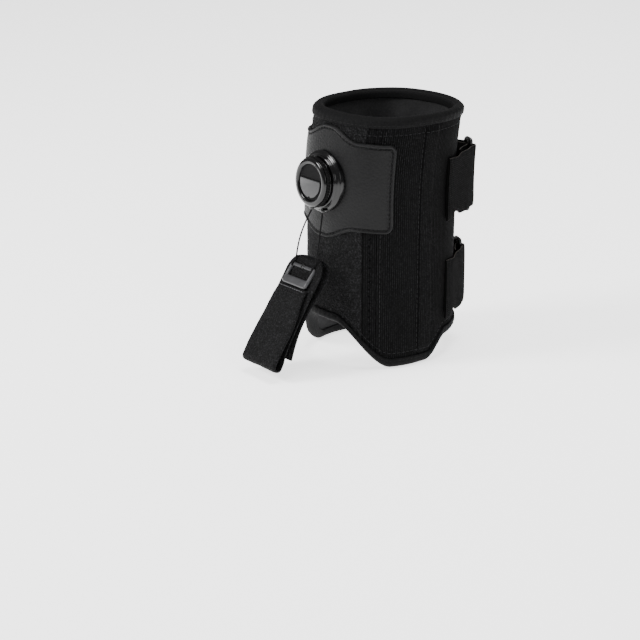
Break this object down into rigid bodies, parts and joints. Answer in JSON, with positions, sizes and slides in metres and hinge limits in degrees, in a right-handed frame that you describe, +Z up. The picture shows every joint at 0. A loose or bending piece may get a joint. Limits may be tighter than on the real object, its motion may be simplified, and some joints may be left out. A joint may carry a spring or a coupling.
{
  "type": "ankle foot orthosis",
  "caption": "Padded ankle cuff with a cord-winding dial that lifts the forefoot through two cords, a hook buckle and a strap looped round the shoe laces.",
  "frame": {"origin": "centre in plan of the whole brace's box, on the surface that the cuff's two side lobes stand on", "axes": "+Z up along the shin, -Y to the front where the dial is, +X to the outer side of a left ankle"},
  "size_m": [0.0988, 0.1754, 0.1745],
  "materials": {
    "knit": "ribbed knit, matt",
    "pile": "coarse loop pile, matt",
    "lining": "brushed padded lining",
    "binding": "smooth stretch tape",
    "leather": "satin smooth leather",
    "plastic": "gloss",
    "grip": "matt moulded rubber",
    "steel": "brushed",
    "cord": "fine braid",
    "webbing": "loop-faced webbing",
    "hook_tape": "moulded hooks"
  },
  "bodies": {
    "cuff": {"padded_liner": "lining", "front_panel": "pile", "mesh_strip_left": "knit", "mesh_strip_right": "knit", "side_panel_left": "knit", "side_panel_right": "knit", "heel_panel": "knit", "stay_left": "steel", "stay_right": "steel", "binding_top": "binding", "binding_bottom": "binding", "leather_patch": "leather", "dial_base": "plastic", "cord_guide_left": "plastic", "cord_guide_right": "plastic", "tooth_ring": "grip", "spindle": "steel", "tab_upper": "webbing", "tab_lower": "webbing", "ring_upper": "plastic", "ring_lower": "plastic", "strap_upper": "webbing", "strap_lower": "webbing"},
    "collar": {"lift_collar": "steel"},
    "knob": {"pawl_disc": "steel", "knob_shell": "plastic", "knob_grip": "grip", "knob_badge": "plastic"},
    "spool": {"spool": "plastic", "wound_cord": "cord"},
    "cords": {"cord_left": "cord", "cord_right": "cord"},
    "hook": {"hook_buckle": "plastic", "lace_strap": "webbing"},
    "flap_upper": {"flap_upper": "webbing", "hook_tape_upper": "hook_tape"},
    "flap_lower": {"flap_lower": "webbing", "hook_tape_lower": "hook_tape"}
  },
  "joints": [
    {"name": "knob_lift", "type": "slide", "parent": "cuff", "child": "collar", "axis": [0, -0.9976, 0.0698], "range_m": [0, 0.0025]},
    {"name": "knob_turn", "type": "hinge", "parent": "collar", "child": "knob", "pos_m": [0.00143, -0.03241, 0.128], "axis": [0, 0.9976, -0.0698], "range_deg": [-44, 105.5]},
    {"name": "spool_turn", "type": "hinge", "parent": "cuff", "child": "spool", "pos_m": [0.00143, -0.03241, 0.128], "axis": [0, 0.9976, -0.0698], "range_deg": [-44, 105.5]},
    {"name": "cord_swing", "type": "hinge", "parent": "cuff", "child": "cords", "pos_m": [0.00143, -0.03715, 0.10748], "axis": [-1, 0, 0], "range_deg": [-4, 60]},
    {"name": "hook_travel", "type": "slide", "parent": "cords", "child": "hook", "axis": [0, 0.2957, 0.9553], "range_m": [-0.005, 0.012], "deforming": ["cord_left", "cord_right"]},
    {"name": "flap_upper_peel", "type": "hinge", "parent": "cuff", "child": "flap_upper", "pos_m": [0.01543, 0.0872, 0.11875], "axis": [0, -0.0314, -0.9995], "range_deg": [0, 100]},
    {"name": "flap_lower_peel", "type": "hinge", "parent": "cuff", "child": "flap_lower", "pos_m": [0.01343, 0.0815, 0.048], "axis": [0, 0, -1], "range_deg": [0, 100]}
  ],
  "couplings": [
    {"joint": "spool_turn", "follows": "knob_turn", "ratio": 1},
    {"joint": "hook_travel", "follows": "knob_turn", "m_per_rad": 0.0065}
  ]
}
